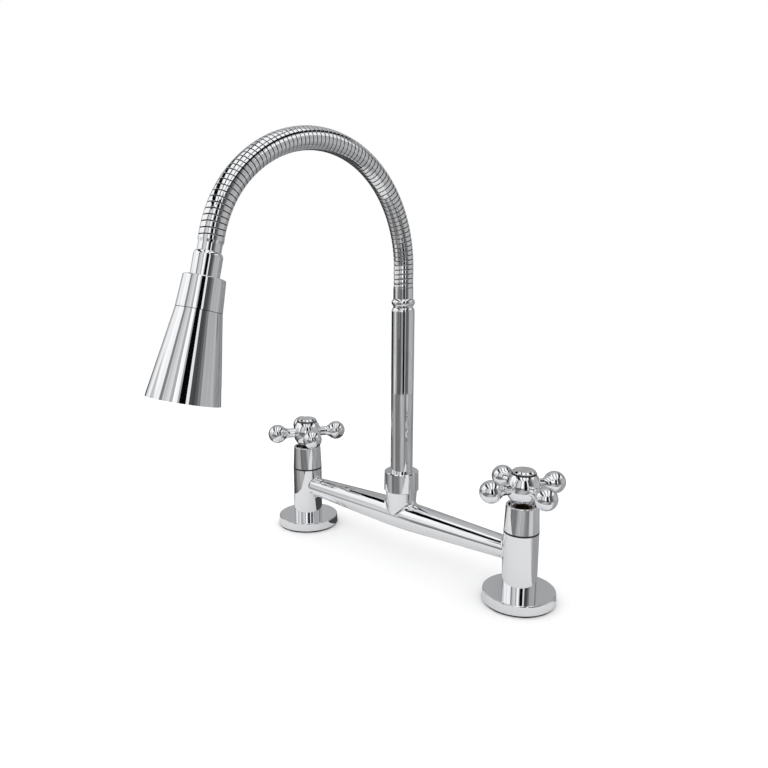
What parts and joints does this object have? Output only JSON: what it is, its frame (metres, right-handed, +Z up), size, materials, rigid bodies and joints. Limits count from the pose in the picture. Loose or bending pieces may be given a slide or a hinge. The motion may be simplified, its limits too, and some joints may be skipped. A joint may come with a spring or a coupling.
{
  "type": "bridge kitchen faucet",
  "caption": "Bridge kitchen faucet with cross handles, a swivelling riser, a self-holding metal hose in a gooseneck and a conical spray head",
  "frame": {"origin": "on the deck, midway between the two pillar axes", "axes": "+Z up; X along the bridge with the hot side at -X and the cold side at +X; the spout reaches towards -Y"},
  "size_m": [0.2603, 0.23, 0.3539],
  "materials": {
    "chrome": "polished",
    "hose_chrome": "satin",
    "brass": "satin",
    "steel": "satin",
    "rubber": "matte",
    "ceramic": "satin",
    "grey_plastic": "matte",
    "white_plastic": "satin"
  },
  "bodies": {
    "base": {"hot_gasket": "rubber", "hot_flange": "chrome", "hot_pillar": "chrome", "hot_deck_washer": "steel", "hot_back_nut": "brass", "hot_seat_seal": "rubber", "hot_lower_disc": "ceramic", "hot_cartridge": "brass", "hot_skirt": "chrome", "cold_gasket": "rubber", "cold_flange": "chrome", "cold_pillar": "chrome", "cold_deck_washer": "steel", "cold_back_nut": "brass", "cold_seat_seal": "rubber", "cold_lower_disc": "ceramic", "cold_cartridge": "brass", "cold_skirt": "chrome", "bridge": "chrome", "spout_nut": "chrome"},
    "hot_valve": {"hot_spindle": "brass", "hot_upper_disc": "ceramic", "hot_stem_oring": "rubber", "hot_handle": "chrome", "hot_handle_screw": "steel", "hot_index_cap": "chrome"},
    "cold_valve": {"cold_spindle": "brass", "cold_upper_disc": "ceramic", "cold_stem_oring": "rubber", "cold_handle": "chrome", "cold_handle_screw": "steel", "cold_index_cap": "chrome"},
    "spout": {"riser_bush": "brass", "riser_orings": "rubber", "slip_ring": "white_plastic", "riser": "chrome", "riser_ferrule": "chrome", "hose_casing_1": "hose_chrome", "hose_liner_1": "rubber"},
    "hose_2": {"hose_casing_2": "hose_chrome", "hose_liner_2": "rubber"},
    "hose_3": {"hose_casing_3": "hose_chrome", "hose_liner_3": "rubber"},
    "hose_4": {"hose_casing_4": "hose_chrome", "hose_liner_4": "rubber"},
    "hose_5": {"hose_casing_5": "hose_chrome", "hose_liner_5": "rubber"},
    "hose_6": {"hose_casing_6": "hose_chrome", "hose_liner_6": "rubber"},
    "hose_7": {"hose_casing_7": "hose_chrome", "hose_liner_7": "rubber", "head_ferrule": "chrome"},
    "head": {"head_collar": "chrome", "head_washer": "rubber", "spray_core": "brass", "core_clip": "steel"},
    "cone": {"spray_cone": "chrome", "spray_face": "grey_plastic", "jet_insert": "white_plastic"}
  },
  "joints": [
    {"name": "hot_turn", "type": "hinge", "parent": "base", "child": "hot_valve", "pos_m": [-0.1016, 0, 0.08], "axis": [0, 0, 1], "range_deg": [0, 90]},
    {"name": "cold_turn", "type": "hinge", "parent": "base", "child": "cold_valve", "pos_m": [0.1016, 0, 0.08], "axis": [0, 0, -1], "range_deg": [0, 90]},
    {"name": "spout_swivel", "type": "hinge", "parent": "base", "child": "spout", "pos_m": [0, 0, 0.0631], "axis": [0, 0, 1], "continuous": true},
    {"name": "flex_1", "type": "hinge", "parent": "spout", "child": "hose_2", "pos_m": [0, -0.00299, 0.23641], "axis": [1, 0, 0], "range_deg": [-9, 5]},
    {"name": "flex_2", "type": "hinge", "parent": "hose_2", "child": "hose_3", "pos_m": [0, -0.01984, 0.26684], "axis": [1, 0, 0], "range_deg": [-9, 5]},
    {"name": "flex_3", "type": "hinge", "parent": "hose_3", "child": "hose_4", "pos_m": [0, -0.04831, 0.28682], "axis": [1, 0, 0], "range_deg": [-9, 5]},
    {"name": "flex_4", "type": "hinge", "parent": "hose_4", "child": "hose_5", "pos_m": [0, -0.08261, 0.29294], "axis": [1, 0, 0], "range_deg": [-9, 5]},
    {"name": "flex_5", "type": "hinge", "parent": "hose_5", "child": "hose_6", "pos_m": [0, -0.11654, 0.28502], "axis": [1, 0, 0], "range_deg": [-9, 5]},
    {"name": "flex_6", "type": "hinge", "parent": "hose_6", "child": "hose_7", "pos_m": [0, -0.14452, 0.26428], "axis": [1, 0, 0], "range_deg": [-9, 5]},
    {"name": "head_swivel", "type": "hinge", "parent": "hose_7", "child": "head", "pos_m": [0, -0.16003, 0.2332], "axis": [0, -0.2521, -0.9677], "continuous": true},
    {"name": "mode_twist", "type": "hinge", "parent": "head", "child": "cone", "pos_m": [0, -0.16003, 0.2332], "axis": [0, -0.2521, -0.9677], "range_deg": [0, 90]}
  ]
}
